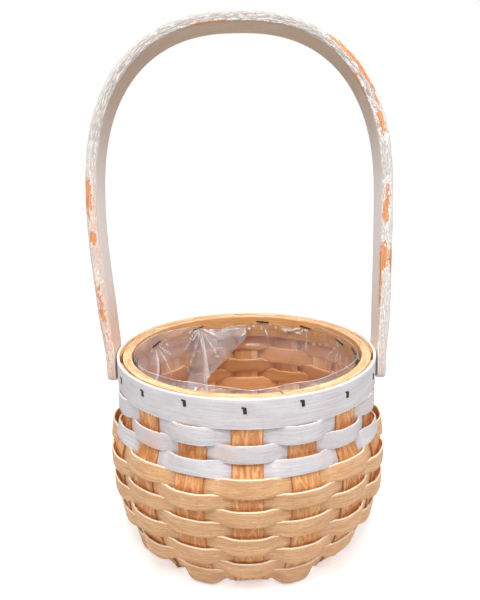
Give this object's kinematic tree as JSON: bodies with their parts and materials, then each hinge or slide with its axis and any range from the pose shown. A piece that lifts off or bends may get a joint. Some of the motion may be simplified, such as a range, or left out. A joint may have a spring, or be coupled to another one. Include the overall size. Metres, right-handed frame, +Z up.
{
  "type": "round splint-woven basket with swing handle",
  "caption": "Round woven wood-splint basket with a white-washed rim, a clear film liner and a tall bentwood handle that swings on side rivets.",
  "frame": {"origin": "on the floor under the middle of the whole outline, handle included; the axis of the body stands 4 mm from it towards +X, because the bow is set that much to the other side", "axes": "+Z up through the open mouth to the handle, -Y the front that the picture shows, the handle swings about an axis along X"},
  "size_m": [0.2382, 0.2248, 0.4158],
  "materials": {
    "white_wash": "matte white wash over wood, worn thin at the edges",
    "weaver_wood": "dry sliced veneer, unvarnished",
    "stave_wood": "dry sliced veneer with a clear upright grain",
    "hoop_wood": "dry wound veneer, pale",
    "handle_wood": "thick white paint, rubbed back to the wood along the outer side",
    "rivet_metal": "dull grey",
    "film": "thin clear crumpled film"
  },
  "bodies": {
    "basket": {"outer_band": "white_wash", "inner_hoop": "hoop_wood", "splint_1": "stave_wood", "splint_2": "stave_wood", "splint_3": "stave_wood", "splint_4": "stave_wood", "splint_5": "stave_wood", "splint_6": "stave_wood", "splint_7": "stave_wood", "splint_8": "stave_wood", "weaver_01": "white_wash", "weaver_02": "white_wash", "weaver_03": "white_wash", "weaver_04": "weaver_wood", "weaver_05": "weaver_wood", "weaver_06": "weaver_wood", "weaver_07": "weaver_wood", "weaver_08": "weaver_wood", "weaver_09": "weaver_wood", "weaver_10": "weaver_wood", "weaver_11": "weaver_wood", "rivet_left": "rivet_metal", "rivet_right": "rivet_metal", "washer_left": "rivet_metal", "washer_right": "rivet_metal", "liner_film": "film", "liner_fold": "film"},
    "bow": {"handle": "handle_wood"}
  },
  "joints": [
    {"name": "handle_swing", "type": "hinge", "parent": "basket", "child": "bow", "pos_m": [0.004, 0, 0.1462], "axis": [1, 0, 0], "range_deg": [-105, 124]}
  ]
}
